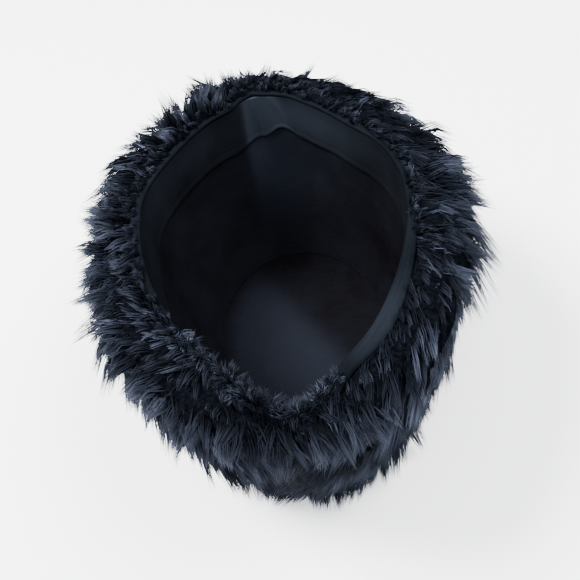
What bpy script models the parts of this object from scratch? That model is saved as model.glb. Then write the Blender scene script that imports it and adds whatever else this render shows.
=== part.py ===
"""A deep-pile fur cossack hat, lying upside down on its crown, with its opening up.

Metres, +Z up. The origin is under the middle of the hat, on the surface that the hat lies on.
The back of the hat is towards +Y, its front towards -Y, and its width is along X.
"""

from collections import namedtuple
from math import cos, exp, pi, radians, sin

import bmesh
import bpy
from mathutils import Vector

# Driving dimensions of the hat
RIM_HEIGHT = 0.126
FLOOR_HEIGHT = 0.014
CLOTH = 0.0012
GAP = 0.0003
BAND_WIDTH = 0.028
WELT_WIDTH = 0.0075
WELT_HEIGHT = 0.0024
CREST_HEIGHT = 0.1335
LINING_BULGE = 0.0022
CORNER_REACH = 0.005   # how far the back corner is drawn out at the rim, and to its own right
CORNER_ASIDE = -0.003

# Heights at which every layer of the wall has a ring, so that the layers stay parallel
WALL_LEVELS = (FLOOR_HEIGHT + GAP, 0.036, 0.070, RIM_HEIGHT - BAND_WIDTH, 0.112, RIM_HEIGHT)

# How finely the rings are divided
SIDES = 44

# The hollow, as rows from the crown up to the rim. A front or back point of 1 is the end of an oval, and more
# narrows that end like a lens. taper makes the back wider than the front.
Section = namedtuple("Section", "height half_width half_length front_point back_point taper")
HOLLOW = (
    Section(FLOOR_HEIGHT, 0.0565, 0.0725, 1.00, 1.00, 0.02),
    Section(0.036, 0.0640, 0.0865, 1.08, 1.12, 0.06),
    Section(0.070, 0.0700, 0.1000, 1.22, 1.34, 0.12),
    Section(0.098, 0.0725, 0.1075, 1.36, 1.50, 0.17),
    Section(RIM_HEIGHT, 0.0735, 0.1130, 1.46, 1.65, 0.20),
)

# The body of the fur without its lock tips, from the surface it lies on up to its crest
PILE = (
    Section(0.0000, 0.0660, 0.0880, 1.00, 1.00, 0.03),
    Section(0.0060, 0.0750, 0.0985, 1.00, 1.00, 0.04),
    Section(0.0220, 0.0835, 0.1070, 1.00, 1.03, 0.05),
    Section(0.0480, 0.0930, 0.1155, 1.00, 1.04, 0.06),
    Section(0.0800, 0.1005, 0.1225, 1.00, 1.06, 0.07),
    Section(0.1080, 0.1030, 0.1265, 1.00, 1.06, 0.07),
    Section(0.1240, 0.1012, 0.1270, 1.02, 1.07, 0.07),
    Section(0.1310, 0.0962, 0.1255, 1.06, 1.09, 0.07),
)

# Soft folds of the wall: where they are round the hat, how wide, and how far they push into the hollow
Fold = namedtuple("Fold", "angle spread depth")
FOLDS = (
    Fold(113, 7, 0.0030),
    Fold(66, 9, -0.0025),
    Fold(38, 12, 0.0030),
    Fold(158, 12, -0.0025),
    Fold(228, 11, 0.0025),
    Fold(304, 10, 0.0030),
)

# Rows of locks on the pile. lean is the angle below level at which a lock leaves the pile.
LockRow = namedtuple("LockRow", "height count length radius lean")
LOCK_ROWS = (
    LockRow(0.1295, 27, 0.0210, 0.0072, -12),
    LockRow(0.1215, 29, 0.0230, 0.0076, 32),
    LockRow(0.1050, 28, 0.0250, 0.0080, 54),
    LockRow(0.0860, 28, 0.0260, 0.0080, 58),
    LockRow(0.0670, 27, 0.0260, 0.0080, 63),
    LockRow(0.0490, 26, 0.0250, 0.0078, 63),
    LockRow(0.0320, 24, 0.0220, 0.0074, 55),
    LockRow(0.0160, 22, 0.0190, 0.0066, 18),
)
LOCK_SIDES = 5
LOCK_SUNK = 0.26       # share of a lock's length that is inside the pile
LOCK_WAIST = 1.4       # how much its middle is widened
LOCK_WIDE = 1.3        # its width and its thickness, against its radius
LOCK_THIN = 0.72
LOCK_DROOP = 0.003
LOCK_SWING = 0.005

# The welt's section: its place across the strip and its height, each as a share
WeltPoint = namedtuple("WeltPoint", "across up")
WELT_PROFILE = (
    WeltPoint(0.00, 0.25),
    WeltPoint(0.05, 0.70),
    WeltPoint(0.28, 1.00),
    WeltPoint(0.74, 0.95),
    WeltPoint(1.00, 0.58),
    WeltPoint(1.00, 0.42),
    WeltPoint(0.08, 0.00),
)


def clear_scene():
    for obj in list(bpy.data.objects):
        bpy.data.objects.remove(obj)


def finish_of(name, colour, roughness):
    material = bpy.data.materials.new(name)
    material.use_nodes = True
    shader = material.node_tree.nodes["Principled BSDF"]
    shader.inputs["Base Color"].default_value = (*colour, 1)
    shader.inputs["Roughness"].default_value = roughness
    shader.inputs["Metallic"].default_value = 0
    return material


def section_at(table, height):
    """The row of a table of sections at any height, between its own rows."""
    height = min(max(height, table[0].height), table[-1].height)
    for low, high in zip(table, table[1:]):
        if height <= high.height:
            share = (height - low.height) / (high.height - low.height)
            return Section(*(a + (b - a) * share for a, b in zip(low, high)))
    return table[-1]


def outline_point(section, turn):
    """A point of the section's outline, from +X round by the back. Its ends narrow as their points grow.

    Towards the rim the back end is drawn out to a corner.
    """
    across, along = cos(turn), sin(turn)
    side = 1 if across >= 0 else -1
    share = (1 + along) / 2
    point = section.front_point + (section.back_point - section.front_point) * share * share * (3 - 2 * share)
    x = side * section.half_width * abs(across) ** point * (1 + section.taper * along)
    corner = share ** 5 * min(1.0, section.height / RIM_HEIGHT) ** 1.5
    return Vector((x + CORNER_ASIDE * corner, section.half_length * along + CORNER_REACH * corner))


def outward(section, turn):
    step = 0.02
    along = outline_point(section, turn + step) - outline_point(section, turn - step)
    return Vector((along.y, -along.x)).normalized()


def fold_depth(turn, height):
    """How far the wall's folds push it into the hollow here. They fade out towards the crown."""
    fade = 1.4 * (height - FLOOR_HEIGHT) / (RIM_HEIGHT - FLOOR_HEIGHT)
    depth = 0.0
    for fold in FOLDS:
        apart = (turn - radians(fold.angle) + pi) % (2 * pi) - pi
        depth += fold.depth * exp(-((apart / radians(fold.spread)) ** 2))
    return depth * min(1.0, fade)


def hollow_ring(level, offset, height=None):
    """A ring round the hollow, offset outwards from the lining's inner face at that level."""
    section = section_at(HOLLOW, level)
    points = []
    for i in range(SIDES):
        turn = 2 * pi * i / SIDES
        flat = outline_point(section, turn) + outward(section, turn) * (offset - fold_depth(turn, level))
        points.append(Vector((flat.x, flat.y, level if height is None else height)))
    return points


def pile_ring(section):
    points = []
    for i in range(SIDES):
        flat = outline_point(section, 2 * pi * i / SIDES)
        points.append(Vector((flat.x, flat.y, section.height)))
    return points


def between(ring_a, ring_b, share, height):
    """A ring part of the way from one ring to another, at its own height."""
    points = [a.lerp(b, share) for a, b in zip(ring_a, ring_b)]
    for point in points:
        point.z = height
    return points


def loft(rings, closed):
    """Skins a stack of rings. A closed one joins its last ring to its first, and others get caps."""
    bm = bmesh.new()
    loops = [[bm.verts.new(point) for point in ring] for ring in rings]
    following = loops[1:] + loops[:1] if closed else loops[1:]
    for low, high in zip(loops, following):
        for i in range(len(low)):
            j = (i + 1) % len(low)
            bm.faces.new((low[i], low[j], high[j], high[i]))
    if not closed:
        for loop in (loops[0], loops[-1]):
            bm.faces.new(loop)
    return bm


def object_from(name, bm, material):
    bmesh.ops.recalc_face_normals(bm, faces=bm.faces)
    mesh = bpy.data.meshes.new(name)
    bm.to_mesh(mesh)
    bm.free()
    mesh.shade_smooth()
    mesh.set_sharp_from_angle(angle=radians(40))
    mesh.materials.append(material)
    obj = bpy.data.objects.new(name, mesh)
    bpy.context.scene.collection.objects.link(obj)
    return obj


def fused_mesh(obj):
    """The object's mesh with its modifiers applied, without the closed pockets between its locks."""
    bm = bmesh.new()
    bm.from_object(obj, bpy.context.evaluated_depsgraph_get())
    islands = []
    left = set(bm.verts)
    while left:
        island = set()
        edge_of_island = [left.pop()]
        while edge_of_island:
            vert = edge_of_island.pop()
            island.add(vert)
            near = {edge.other_vert(vert) for edge in vert.link_edges} & left
            left -= near
            edge_of_island.extend(near)
        islands.append(island)
    islands.sort(key=len)
    for pocket in islands[:-1]:
        bmesh.ops.delete(bm, geom=list(pocket), context="VERTS")
    mesh = obj.data.copy()
    bm.to_mesh(mesh)
    bm.free()
    return mesh


def add_lock(bm, row, root, along, across, swing):
    """One flat, pointed lock: a cone with a wide waist, bent down over its length and sunk into the pile."""
    made = bmesh.ops.create_cone(
        bm, cap_ends=True, segments=LOCK_SIDES, radius1=row.radius, radius2=0, depth=row.length
    )["verts"]
    faces = list({face for vert in made for face in vert.link_faces})
    edges = list({edge for vert in made for edge in vert.link_edges})
    cut = bmesh.ops.bisect_plane(bm, geom=made + edges + faces, plane_co=(0, 0, 0), plane_no=(0, 0, 1))
    waist = [item for item in cut["geom_cut"] if isinstance(item, bmesh.types.BMVert)]
    for vert in waist:
        vert.co.x *= LOCK_WAIST
        vert.co.y *= LOCK_WAIST
    thick = along.cross(across)
    for vert in made + waist:
        reach = vert.co.z / row.length + 0.5
        spot = across * vert.co.x * LOCK_WIDE + thick * vert.co.y * LOCK_THIN
        spot += along * (reach - LOCK_SUNK) * row.length
        vert.co = root + spot + (swing - Vector((0, 0, LOCK_DROOP))) * reach * reach


def make_locks(material):
    """All the locks as one mesh. Each is turned, leant and swung a little differently from the next."""
    bm = bmesh.new()
    for index, row in enumerate(LOCK_ROWS):
        section = section_at(PILE, row.height)
        for i in range(row.count):
            turn = 2 * pi * (i + 0.5 * (index % 2)) / row.count + 0.05 * sin(7.0 * i + index)
            flat = outline_point(section, turn)
            away = outward(section, turn)
            across = Vector((-away.y, away.x, 0))
            lean = radians(row.lean + 8 * sin(2.4 * i + 1.7 * index))
            along = Vector((away.x * cos(lean), away.y * cos(lean), -sin(lean)))
            swing = across * LOCK_SWING * sin(1.9 * i + 2.3 * index)
            add_lock(bm, row, Vector((flat.x, flat.y, row.height)), along, across, swing)
    return object_from("fur_locks", bm, material)


def make_fur_side(material):
    """The deep fur round the side, on its own backing: a ring that is open at the rim and at the crown."""
    wall = CLOTH + GAP
    welt_edge = WELT_WIDTH - CLOTH - GAP
    inner = [hollow_ring(level, wall) for level in reversed(WALL_LEVELS)]
    bottom = hollow_ring(FLOOR_HEIGHT, wall, height=0.0)
    outer = [pile_ring(section) for section in PILE]
    shelf = hollow_ring(RIM_HEIGHT, welt_edge + 0.0005)
    shoulder = hollow_ring(RIM_HEIGHT, welt_edge + 0.0012, height=RIM_HEIGHT + 0.0045)
    crest = between(shoulder, outer[-1], 0.45, CREST_HEIGHT)
    rings = inner + [bottom] + outer + [crest, shoulder, shelf]
    side = object_from("fur_side", loft(rings, closed=True), material)

    locks = make_locks(material)
    join = side.modifiers.new("locks", "BOOLEAN")
    join.operation = "UNION"
    join.solver = "MANIFOLD"
    join.object = locks
    side.data = fused_mesh(side)
    side.modifiers.clear()
    bpy.data.objects.remove(locks)


def make_fur_crown(material):
    """The fur tip of the crown, pressed flat where the hat lies on it."""
    edge = CLOTH
    top = FLOOR_HEIGHT - CLOTH - GAP
    rings = [
        hollow_ring(FLOOR_HEIGHT, edge - 0.004, height=0.0),
        hollow_ring(FLOOR_HEIGHT, edge, height=0.004),
        hollow_ring(FLOOR_HEIGHT, edge, height=0.010),
        hollow_ring(FLOOR_HEIGHT, edge - 0.003, height=top),
    ]
    object_from("fur_crown", loft(rings, closed=False), material)


def make_crown_lining(material):
    """The oval of lining over the crown, sewn under the foot of the side lining and a little domed."""
    under = hollow_ring(FLOOR_HEIGHT, CLOTH, height=FLOOR_HEIGHT - CLOTH)
    edge = hollow_ring(FLOOR_HEIGHT, CLOTH)
    rings = [under, edge]
    for share in (0.85, 0.6, 0.3):
        height = FLOOR_HEIGHT + LINING_BULGE * (1 - share * share)
        rings.append([Vector((point.x * share, point.y * share, height)) for point in edge])
    object_from("crown_lining", loft(rings, closed=False), material)


def make_wall(name, low, inner_offset, material):
    """A band of cloth that follows the wall from a height up to the rim."""
    levels = [level for level in WALL_LEVELS if level >= low]
    inside = [hollow_ring(level, inner_offset) for level in levels]
    outside = [hollow_ring(level, inner_offset + CLOTH) for level in reversed(levels)]
    object_from(name, loft(inside + outside, closed=True), material)


def make_rim_welt(material):
    """The folded strip along the rim, which covers the top edges of the sweatband and the lining."""
    inner = -CLOTH - GAP - 0.0004
    width = WELT_WIDTH - CLOTH - GAP - inner
    low = RIM_HEIGHT + GAP
    rings = [
        hollow_ring(RIM_HEIGHT, inner + width * point.across, height=low + WELT_HEIGHT * point.up)
        for point in WELT_PROFILE
    ]
    object_from("rim_welt", loft(rings, closed=True), material)


def centre_on_origin():
    """Moves the meshes so that the hat's box is centred over the origin and stands on z = 0."""
    objects = list(bpy.context.scene.objects)
    points = [vert.co for obj in objects for vert in obj.data.vertices]
    low = [min(point[axis] for point in points) for axis in range(3)]
    high = [max(point[axis] for point in points) for axis in range(3)]
    shift = Vector((-(low[0] + high[0]) / 2, -(low[1] + high[1]) / 2, -low[2]))
    for obj in objects:
        for vert in obj.data.vertices:
            vert.co += shift


clear_scene()
fur = finish_of("fur", (0.012, 0.015, 0.021), 0.6)
lining = finish_of("lining", (0.013, 0.014, 0.019), 0.7)
band_cloth = finish_of("band_cloth", (0.030, 0.036, 0.048), 0.6)

make_fur_side(fur)
make_fur_crown(fur)
make_crown_lining(lining)
make_wall("side_lining", FLOOR_HEIGHT + GAP, 0.0, lining)
make_wall("sweatband", RIM_HEIGHT - BAND_WIDTH, -CLOTH - GAP, band_cloth)
make_rim_welt(band_cloth)
centre_on_origin()
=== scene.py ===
from math import cos, pi, radians, sin

import bmesh
import bpy
import numpy as np
from mathutils import Matrix, Vector


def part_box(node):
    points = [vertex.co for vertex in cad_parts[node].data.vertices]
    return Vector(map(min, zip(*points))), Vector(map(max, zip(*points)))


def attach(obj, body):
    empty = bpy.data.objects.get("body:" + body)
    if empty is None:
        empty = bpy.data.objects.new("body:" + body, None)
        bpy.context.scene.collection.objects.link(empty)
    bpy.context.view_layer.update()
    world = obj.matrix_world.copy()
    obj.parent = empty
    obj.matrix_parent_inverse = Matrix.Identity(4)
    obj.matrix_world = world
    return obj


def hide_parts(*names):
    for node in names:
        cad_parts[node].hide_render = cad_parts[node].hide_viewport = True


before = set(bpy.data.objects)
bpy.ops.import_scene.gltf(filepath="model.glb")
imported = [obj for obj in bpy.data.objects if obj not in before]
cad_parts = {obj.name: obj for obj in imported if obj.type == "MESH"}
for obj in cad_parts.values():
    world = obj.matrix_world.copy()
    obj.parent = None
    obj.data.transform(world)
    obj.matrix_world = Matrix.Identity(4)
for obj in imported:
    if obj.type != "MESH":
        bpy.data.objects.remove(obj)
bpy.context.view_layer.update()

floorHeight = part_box("side_lining")[0][2]
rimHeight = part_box("sweatband")[1][2]
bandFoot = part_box("sweatband")[0][2]

# the hat's shape, with the same rows as the CAD's, in metres
# columns: height, half width, half length, point of the front end, point of the back end, taper
hollowRows = np.array([
    (0.014, 0.0565, 0.0725, 1.00, 1.00, 0.02),
    (0.036, 0.0640, 0.0865, 1.08, 1.12, 0.06),
    (0.070, 0.0700, 0.1000, 1.22, 1.34, 0.12),
    (bandFoot, 0.0725, 0.1075, 1.36, 1.50, 0.17),
    (rimHeight, 0.0735, 0.1130, 1.46, 1.65, 0.20),
])
pileRows = np.array([
    (0.0000, 0.0660, 0.0880, 1.00, 1.00, 0.03),
    (0.0060, 0.0750, 0.0985, 1.00, 1.00, 0.04),
    (0.0220, 0.0835, 0.1070, 1.00, 1.03, 0.05),
    (0.0480, 0.0930, 0.1155, 1.00, 1.04, 0.06),
    (0.0800, 0.1005, 0.1225, 1.00, 1.06, 0.07),
    (0.1080, 0.1030, 0.1265, 1.00, 1.06, 0.07),
    (0.1240, 0.1012, 0.1270, 1.02, 1.07, 0.07),
    (0.1310, 0.0962, 0.1255, 1.06, 1.09, 0.07),
])
# folds of the wall: turn and spread in degrees, depth into the hollow
wallFolds = np.array([
    (113, 7, 0.0030), (66, 9, -0.0025), (38, 12, 0.0030),
    (158, 12, -0.0025), (228, 11, 0.0025), (304, 10, 0.0030),
])
# the back end is drawn out to a corner towards the rim: how far aside and how far back,
# how narrow that corner is, and how fast it grows with height
cornerDraw = np.array([-0.003, 0.005])
cornerNarrow, cornerGrow = 5, 1.5
crownTop = hollowRows[0, 0]
clothThick = 0.0012
clothGap = 0.0003
crownLow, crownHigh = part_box("crown_lining")
hatMiddle = np.array([(crownLow[0] + crownHigh[0]) / 2, (crownLow[1] + crownHigh[1]) / 2])


def columnsAt(rows, height):
    # Catmull-Rom between the rows, so that a wall has no kink at them
    h = np.clip(np.asarray(height, float), rows[0, 0], rows[-1, 0])
    low = np.clip(np.searchsorted(rows[:, 0], h, side="right") - 1, 0, len(rows) - 2)
    u = ((h - rows[low, 0]) / (rows[low + 1, 0] - rows[low, 0]))[..., None]
    before, after = rows[np.maximum(low - 1, 0)], rows[np.minimum(low + 2, len(rows) - 1)]
    a, b = rows[low], rows[low + 1]
    span = b[..., :1] - a[..., :1]
    slopeA = (b - before) / (b[..., :1] - before[..., :1]) * span
    slopeB = (after - a) / (after[..., :1] - a[..., :1]) * span
    u2, u3 = u * u, u * u * u
    return ((2 * u3 - 3 * u2 + 1) * a + (u3 - 2 * u2 + u) * slopeA
            + (3 * u2 - 2 * u3) * b + (u3 - u2) * slopeB)


def outlineAt(rows, turn, height):
    # the place on a wall's outline, at a turn round the hat: 0 is its right, 90 degrees its far end
    turn, height = np.broadcast_arrays(np.asarray(turn, float), np.asarray(height, float))
    c = columnsAt(rows, height)
    across, along = np.cos(turn), np.sin(turn)
    share = (1 + along) / 2
    point = c[..., 3] + (c[..., 4] - c[..., 3]) * share * share * (3 - 2 * share)
    x = np.sign(across) * c[..., 1] * np.abs(across) ** point * (1 + c[..., 5] * along)
    corner = share ** cornerNarrow * np.minimum(1, c[..., 0] / rimHeight) ** cornerGrow
    return np.stack([x, c[..., 2] * along], -1) + corner[..., None] * cornerDraw + hatMiddle


def awayAt(rows, turn, height):
    # the level way out of a wall, from two of its points a small turn apart
    step = 0.02
    ahead = outlineAt(rows, turn + step, height) - outlineAt(rows, turn - step, height)
    away = np.stack([ahead[..., 1], -ahead[..., 0]], -1)
    return away / np.linalg.norm(away, axis=-1, keepdims=True)


def apartFrom(turn, place):
    # how far a turn in radians is from a place in degrees, the short way round, in radians
    return (turn - radians(place) + pi) % (2 * pi) - pi


def degreesFrom(turn, place):
    # the same in degrees
    return (np.degrees(turn) - place + 180) % 360 - 180


def foldAt(turn, height):
    fade = np.minimum(1, 1.4 * (height - crownTop) / (rimHeight - crownTop))
    depth = 0
    for place, spread, push in wallFolds:
        depth = depth + push * np.exp(-((apartFrom(turn, place) / radians(spread)) ** 2))
    return depth * fade


def wallPoint(turn, height, offset, z=None):
    flat = outlineAt(hollowRows, turn, height)
    outward = np.asarray(offset) - foldAt(turn, height)
    flat = flat + awayAt(hollowRows, turn, height) * outward[..., None]
    z = np.broadcast_to(height if z is None else z, flat.shape[:-1])
    return np.concatenate([flat, z[..., None]], -1)


# helpers for meshes and nodes
def keepObject(name, mesh, material):
    obj = bpy.data.objects.new(name, mesh)
    bpy.context.scene.collection.objects.link(obj)
    mesh.materials.append(material)
    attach(obj, "root")
    return obj


def ringSkin(rings, closed, caps=False):
    # a circle is extruded ring by ring, and every ring is moved to its own points
    bm = bmesh.new()
    # a value for each point: the cloth's painted light and shade
    bm.verts.layers.float.new("paintedLight")
    count = len(rings[0])
    ring = bmesh.ops.create_circle(bm, segments=count, radius=1)["verts"]
    loops = [ring]
    for vert, point in zip(ring, rings[0]):
        vert.co = point
    edges = list(bm.edges)
    for points in rings[1:] + ([rings[0]] if closed else []):
        grown = bmesh.ops.extrude_edge_only(bm, edges=edges)["geom"]
        fresh = {item for item in grown if isinstance(item, bmesh.types.BMVert)}
        edges = [item for item in grown if isinstance(item, bmesh.types.BMEdge)
                 and item.verts[0] in fresh and item.verts[1] in fresh]
        ring = [next(e.other_vert(v) for e in v.link_edges if e.other_vert(v) in fresh)
                for v in loops[-1]]
        for vert, point in zip(ring, points):
            vert.co = point
        loops.append(ring)
    if closed:
        bmesh.ops.weld_verts(bm, targetmap=dict(zip(loops.pop(), loops[0])))
    elif caps:
        bmesh.ops.holes_fill(bm, edges=[e for e in bm.edges if e.is_boundary], sides=0)
    return bm, loops


sharpAngle = 50                        # degrees between faces, past which an edge stays sharp


def meshFrom(name, bm):
    bmesh.ops.recalc_face_normals(bm, faces=bm.faces)
    mesh = bpy.data.meshes.new(name)
    bm.to_mesh(mesh)
    bm.free()
    mesh.shade_smooth()
    mesh.set_sharp_from_angle(angle=radians(sharpAngle))
    return mesh


def ringLengths(rings):
    return [np.linalg.norm(np.roll(ring, -1, 0) - ring, axis=1).sum() for ring in rings]


def paintLight(bm, loops, shades):
    # the value is 0 where the cloth has painted shade and 1 where it has painted light
    layer = bm.verts.layers.float["paintedLight"]
    for ring, values in zip(loops, shades):
        for vert, value in zip(ring, values):
            vert[layer] = min(1, max(0, float(value)))


def mapCloth(bm, loops, around, up):
    # the cloth's own map, in metres: along its length and up its width
    layer = bm.loops.layers.uv.new("cloth")
    place = {}
    count = len(loops[0])
    for row, ring in enumerate(loops):
        for i, vert in enumerate(ring):
            place[vert] = (i, around[row] / count, up[row])
    for face in bm.faces:
        wraps = {place[loop.vert][0] for loop in face.loops} >= {0, count - 1}
        for loop in face.loops:
            i, step, v = place[loop.vert]
            loop[layer].uv = ((count if wraps and i == 0 else i) * step, v)


def newMaterial(name, colour, roughness, **sockets):
    material = bpy.data.materials.new(name)
    material.use_nodes = True
    shader = material.node_tree.nodes["Principled BSDF"]
    shader.inputs["Base Color"].default_value = (*colour, 1)
    shader.inputs["Roughness"].default_value = roughness
    for socket, value in sockets.items():
        shader.inputs[socket.replace("_", " ")].default_value = value
    return material, shader


def addNode(material, kind, **values):
    node = material.node_tree.nodes.new("ShaderNode" + kind)
    for name, value in values.items():
        if hasattr(node, name):
            setattr(node, name, value)
        else:
            node.inputs[name.replace("_", " ")].default_value = value
    return node


def wire(material, source, target):
    material.node_tree.links.new(source, target)


def addRamp(material, *stops):
    # each stop is a place from 0 to 1 and its colour
    ramp = addNode(material, "ValToRGB")
    marks = ramp.color_ramp.elements
    for k, (place, colour) in enumerate(stops):
        mark = marks[k] if k < len(marks) else marks.new(place)
        mark.position, mark.color = place, (*colour, 1)
    return ramp


def addRange(material, source, low, high):
    node = addNode(material, "MapRange", To_Min=low, To_Max=high)
    wire(material, source.outputs["Fac"], node.inputs["Value"])
    return node


def addBump(material, height, strength, distance, under=None):
    bump = addNode(material, "Bump", Strength=strength, Distance=distance)
    wire(material, height, bump.inputs["Height"])
    if under:
        wire(material, under.outputs["Normal"], bump.inputs["Normal"])
    return bump


# finishes: the three cloths, with the colour that each gives to what it reflects
# dark and light: each cloth's colour in painted shade and in painted light
clothFinishes = {
    "liningCloth": {"dark": (0.0008, 0.0005, 0.0008), "light": (0.0098, 0.0120, 0.0182),
                    "roughness": 0.7, "threads": 260, "weaveBump": 0.5, "glint": (1, 1, 1)},
    "bandCloth": {"dark": (0.0009, 0.0008, 0.0011), "light": (0.0125, 0.0155, 0.0215),
                  "roughness": 0.65, "threads": 330, "weaveBump": 0.35, "glint": (0.92, 0.96, 1)},
    "weltCloth": {"dark": (0.0002, 0.0004, 0.0008), "light": (0.0125, 0.0155, 0.0215),
                  "roughness": 0.7, "threads": 330, "weaveBump": 0.35, "glint": (0.68, 0.82, 1)},
}
# what the cloths share: a matt face, soft mottling, and slubs along the threads
clothGrain = {
    "specular": 0.03, "waver": 0.6, "mottleScale": 34, "mottle": 0.30, "mottleBump": 0.35,
    "slubScale": (60, 900, 1), "slub": 0.16, "darkAt": 0.15, "lightAt": 1.25 / 1.3,
    "smoother": 0.1, "rougher": 0.12,
}


def clothMaterial(name):
    # a plain weave on the cloth's own map, with soft mottling and slubs, and painted light and
    # shade from each point's value
    finish = clothFinishes[name]
    material, shader = newMaterial(name, finish["dark"], finish["roughness"])
    shader.inputs["Specular IOR Level"].default_value = clothGrain["specular"]
    shader.inputs["Specular Tint"].default_value = (*finish["glint"], 1)
    uv = addNode(material, "UVMap", uv_map="cloth")
    place = addNode(material, "TexCoord")
    weave = addNode(material, "Math", operation="MULTIPLY")
    for way, socket in zip("XY", weave.inputs):
        wave = addNode(material, "TexWave", wave_type="BANDS", bands_direction=way,
                       Scale=finish["threads"], Distortion=clothGrain["waver"])
        wire(material, uv.outputs["UV"], wave.inputs["Vector"])
        wire(material, wave.outputs["Fac"], socket)
    mottle = addNode(material, "TexNoise", Scale=clothGrain["mottleScale"], Detail=6, Roughness=0.6)
    wire(material, place.outputs["Object"], mottle.inputs["Vector"])
    stretch = addNode(material, "Mapping")
    stretch.inputs["Scale"].default_value = clothGrain["slubScale"]
    wire(material, uv.outputs["UV"], stretch.inputs["Vector"])
    slub = addNode(material, "TexNoise", Scale=1, Detail=3)
    wire(material, stretch.outputs["Vector"], slub.inputs["Vector"])
    # the shade is the painted light and shade, with a share of the mottling and a share of the
    # slubs on top
    shade = addNode(material, "Attribute", attribute_name="paintedLight").outputs["Fac"]
    for grain, share in ((mottle, clothGrain["mottle"]), (slub, clothGrain["slub"])):
        blend = addNode(material, "Math", operation="MULTIPLY_ADD")
        wire(material, grain.outputs["Fac"], blend.inputs[0])
        blend.inputs[1].default_value = share
        wire(material, shade, blend.inputs[2])
        shade = blend.outputs[0]
    ramp = addRamp(material, (clothGrain["darkAt"], finish["dark"]),
                   (clothGrain["lightAt"], finish["light"]))
    wire(material, shade, ramp.inputs["Fac"])
    wire(material, ramp.outputs["Color"], shader.inputs["Base Color"])
    rough = addRange(material, mottle, finish["roughness"] - clothGrain["smoother"],
                     finish["roughness"] + clothGrain["rougher"])
    wire(material, rough.outputs["Result"], shader.inputs["Roughness"])
    fine = addBump(material, weave.outputs[0], finish["weaveBump"], 0.0002)
    soft = addBump(material, mottle.outputs["Fac"], clothGrain["mottleBump"], 0.0012, under=fine)
    wire(material, soft.outputs["Normal"], shader.inputs["Normal"])
    return material


# fur colours along a strand: painted shade at the root, painted highlight at the tip
furShades = {
    "root": (0.0018, 0.0021, 0.0031), "body": (0.0070, 0.0082, 0.0122),
    "tip": (0.0268, 0.0310, 0.0445),
    "places": (0.05, 0.55, 0.98),      # of the three shades along a strand
    "toneAndLightRange": (0.22, 4.0),          # the darkest and the lightest strand against those shades
    "roughness": 0.55, "specular": 0.012, "glint": (0.55, 0.76, 1.0),
    "sheen": 0.008, "sheenRoughness": 0.35, "sheenTint": (0.55, 0.72, 1.0),
}


def furMaterial(name):
    # painted shade darkens the root and a painted highlight makes the tip a cool grey; every lock
    # is a little different, with painted light and shade on top
    material, shader = newMaterial(name, furShades["body"], furShades["roughness"],
                                   Sheen_Weight=furShades["sheen"],
                                   Sheen_Roughness=furShades["sheenRoughness"])
    shader.inputs["Sheen Tint"].default_value = (*furShades["sheenTint"], 1)
    shader.inputs["Specular IOR Level"].default_value = furShades["specular"]
    shader.inputs["Specular Tint"].default_value = (*furShades["glint"], 1)
    reach = addNode(material, "Attribute", attribute_name="reach")
    toneAndPaintedLight = addNode(material, "Attribute", attribute_name="toneAndPaintedLight")
    shades = [furShades[part] for part in ("root", "body", "tip")]
    ramp = addRamp(material, *zip(furShades["places"], shades))
    wire(material, reach.outputs["Fac"], ramp.inputs["Fac"])
    # random tone with painted light and shade, as a share of the strand's colour
    shade = addRange(material, toneAndPaintedLight, *furShades["toneAndLightRange"])
    mix = addNode(material, "VectorMath", operation="SCALE")
    wire(material, ramp.outputs["Color"], mix.inputs[0])
    wire(material, shade.outputs["Result"], mix.inputs["Scale"])
    wire(material, mix.outputs["Vector"], shader.inputs["Base Color"])
    rough = addRange(material, toneAndPaintedLight, furShades["roughness"] + 0.1, furShades["roughness"] - 0.08)
    wire(material, rough.outputs["Result"], shader.inputs["Roughness"])
    return material


# near black: painted shade deep in the pile
pileShades = {"dark": (0.0007, 0.0008, 0.0012), "light": (0.0027, 0.0032, 0.0047),
              "roughness": 0.85, "streaks": (520, 520, 90)}


def pileMaterial(name):
    # the imported undercoat between the strands: near black, as painted shade deep in the pile,
    # with fine streaks
    material, shader = newMaterial(name, pileShades["dark"], pileShades["roughness"])
    shader.inputs["Specular IOR Level"].default_value = 0.0
    place = addNode(material, "TexCoord")
    stretch = addNode(material, "Mapping")
    stretch.inputs["Scale"].default_value = pileShades["streaks"]
    wire(material, place.outputs["Object"], stretch.inputs["Vector"])
    streak = addNode(material, "TexNoise", Scale=1, Detail=4, Roughness=0.65)
    wire(material, stretch.outputs["Vector"], streak.inputs["Vector"])
    ramp = addRamp(material, (0.4, pileShades["dark"]), (0.7, pileShades["light"]))
    wire(material, streak.outputs["Fac"], ramp.inputs["Fac"])
    wire(material, ramp.outputs["Color"], shader.inputs["Base Color"])
    bump = addBump(material, streak.outputs["Fac"], 0.8, 0.0015)
    wire(material, bump.outputs["Normal"], shader.inputs["Normal"])
    return material


liningCloth, bandCloth, weltCloth = (clothMaterial(name) for name in clothFinishes)
furToneAndPaintedLight = furMaterial("furToneAndPaintedLight")
pileInPaintedShade = pileMaterial("pileInPaintedShade")
print("finishes made")


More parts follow.
